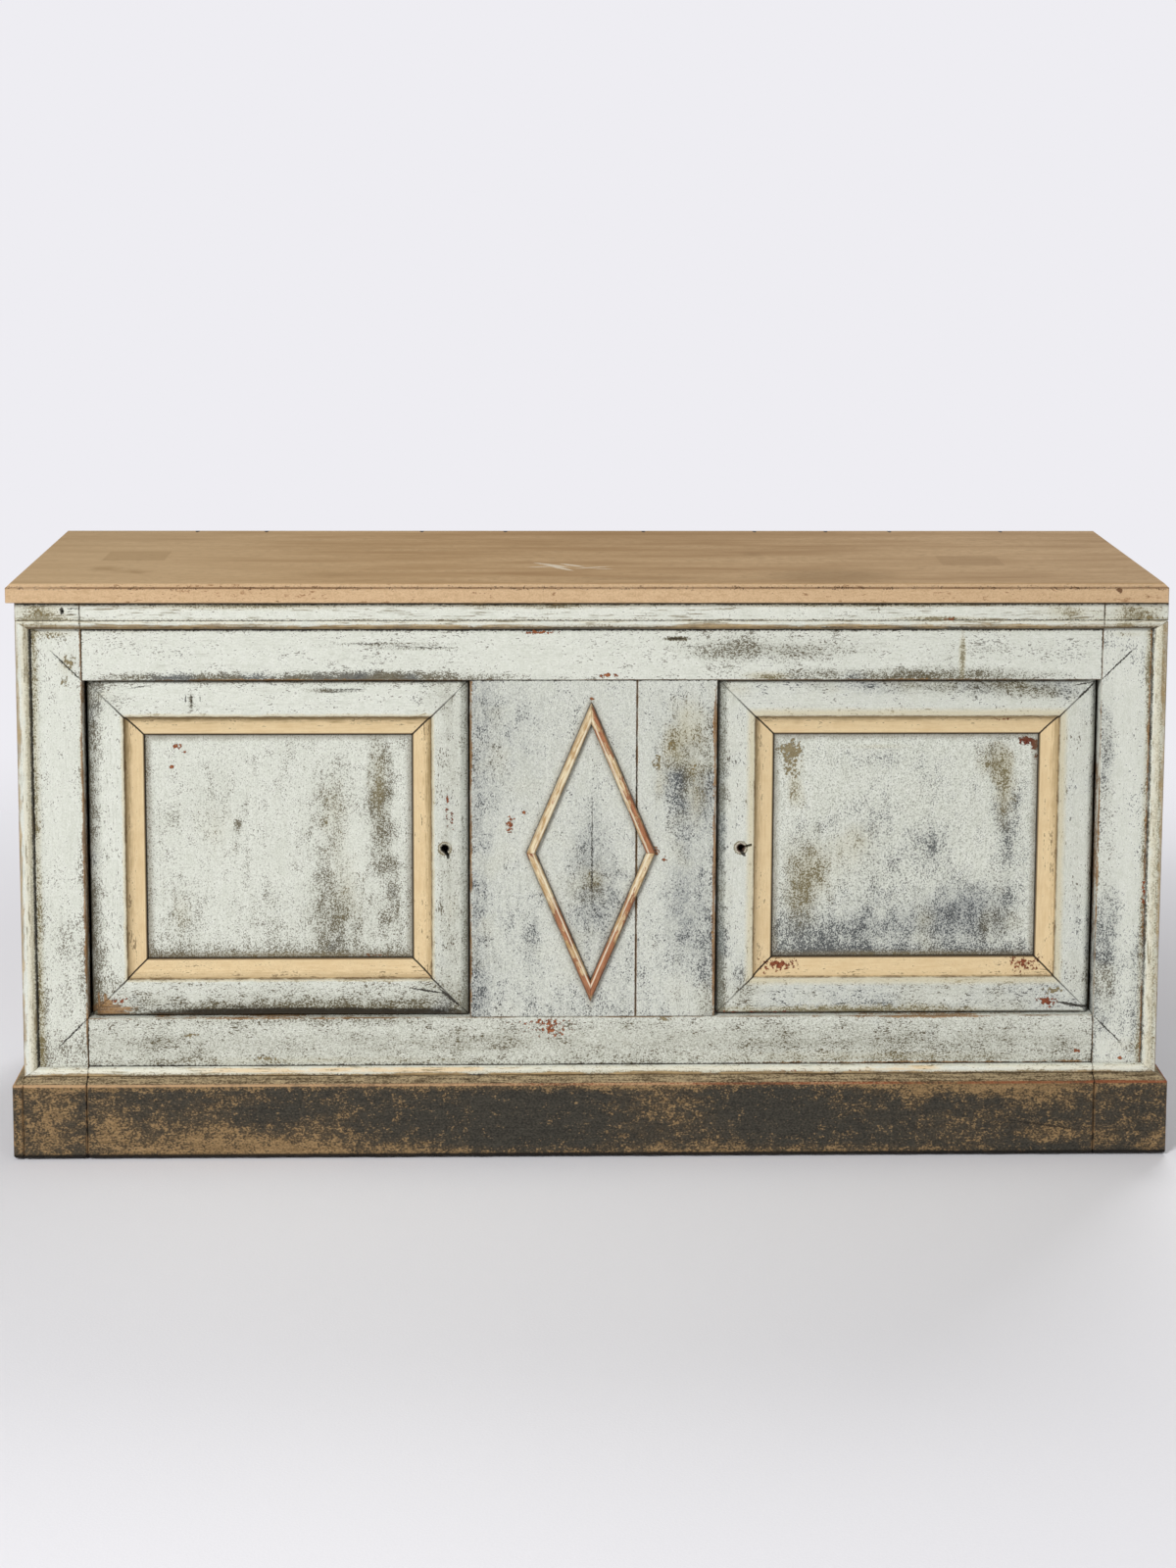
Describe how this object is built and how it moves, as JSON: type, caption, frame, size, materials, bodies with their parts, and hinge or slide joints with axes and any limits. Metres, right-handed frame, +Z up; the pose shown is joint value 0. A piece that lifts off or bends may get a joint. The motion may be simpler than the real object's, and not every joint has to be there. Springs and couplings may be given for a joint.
{
  "type": "buffet cabinet",
  "caption": "Long low painted buffet cabinet: stone top, plinth, framed ends, pivoted panel doors with rim locks and a raised lozenge between them, for storage behind the doors.",
  "frame": {"origin": "on the floor, under the middle of the cabinet", "axes": "+X along the length, to the right as seen from the front; the front faces -Y; +Z up"},
  "size_m": [2.026, 0.606, 1.022],
  "materials": {
    "grey_green_paint": "matt pale grey-green paint, speckled and worn to the wood",
    "cream_paint": "worn cream paint over red-brown",
    "dark_plinth_paint": "charcoal paint, rubbed through to tan wood",
    "bare_wood": "unpainted old softwood",
    "limestone": "honed warm limestone, pitted along the edge",
    "old_iron": "dark forged iron"
  },
  "bodies": {
    "carcass": {"left_front_post": "grey_green_paint", "right_front_post": "grey_green_paint", "left_edge_moulding": "grey_green_paint", "right_edge_moulding": "grey_green_paint", "left_rear_post": "grey_green_paint", "right_rear_post": "grey_green_paint", "top_front_rail": "grey_green_paint", "bottom_front_rail": "grey_green_paint", "centre_board_left": "grey_green_paint", "centre_board_right": "grey_green_paint", "fascia_centre": "grey_green_paint", "fascia_left_block": "grey_green_paint", "fascia_right_block": "grey_green_paint", "base_moulding_centre": "grey_green_paint", "base_moulding_left": "grey_green_paint", "base_moulding_right": "grey_green_paint", "left_end_top_rail": "grey_green_paint", "left_end_bottom_rail": "grey_green_paint", "left_end_panel": "grey_green_paint", "right_end_top_rail": "grey_green_paint", "right_end_bottom_rail": "grey_green_paint", "right_end_panel": "grey_green_paint", "lozenge_upper_left": "cream_paint", "lozenge_upper_right": "cream_paint", "lozenge_lower_left": "cream_paint", "lozenge_lower_right": "cream_paint", "plinth_front": "dark_plinth_paint", "plinth_left_block": "dark_plinth_paint", "plinth_right_block": "dark_plinth_paint", "plinth_left_end": "dark_plinth_paint", "plinth_right_end": "dark_plinth_paint", "top_rear_rail": "bare_wood", "bottom_rear_rail": "bare_wood", "back_board_lower": "bare_wood", "back_board_middle": "bare_wood", "back_board_upper": "bare_wood", "floor_front_board": "bare_wood", "floor_rear_board": "bare_wood", "shelf": "bare_wood", "shelf_left_cleat": "bare_wood", "shelf_right_cleat": "bare_wood", "left_upper_pivot": "old_iron", "left_lower_pivot": "old_iron", "right_upper_pivot": "old_iron", "right_lower_pivot": "old_iron", "stone_top": "limestone"},
    "left_door": {"left_door_hinge_stile": "grey_green_paint", "left_door_lock_stile": "grey_green_paint", "left_door_top_rail": "grey_green_paint", "left_door_bottom_rail": "grey_green_paint", "left_door_panel": "grey_green_paint", "left_lock_case": "old_iron"},
    "left_bolt": {"left_lock_bolt": "old_iron"},
    "right_door": {"right_door_hinge_stile": "grey_green_paint", "right_door_lock_stile": "grey_green_paint", "right_door_top_rail": "grey_green_paint", "right_door_bottom_rail": "grey_green_paint", "right_door_panel": "grey_green_paint", "right_lock_case": "old_iron"},
    "right_bolt": {"right_lock_bolt": "old_iron"}
  },
  "joints": [
    {"name": "left_door_hinge", "type": "hinge", "parent": "carcass", "child": "left_door", "pos_m": [-0.863, -0.247, 0], "axis": [0, 0, -1], "range_deg": [0, 95]},
    {"name": "left_bolt_slide", "type": "slide", "parent": "left_door", "child": "left_bolt", "axis": [1, 0, 0], "range_m": [0, 0.012]},
    {"name": "right_door_hinge", "type": "hinge", "parent": "carcass", "child": "right_door", "pos_m": [0.863, -0.247, 0], "axis": [0, 0, 1], "range_deg": [0, 95]},
    {"name": "right_bolt_slide", "type": "slide", "parent": "right_door", "child": "right_bolt", "axis": [-1, 0, 0], "range_m": [0, 0.012]}
  ]
}
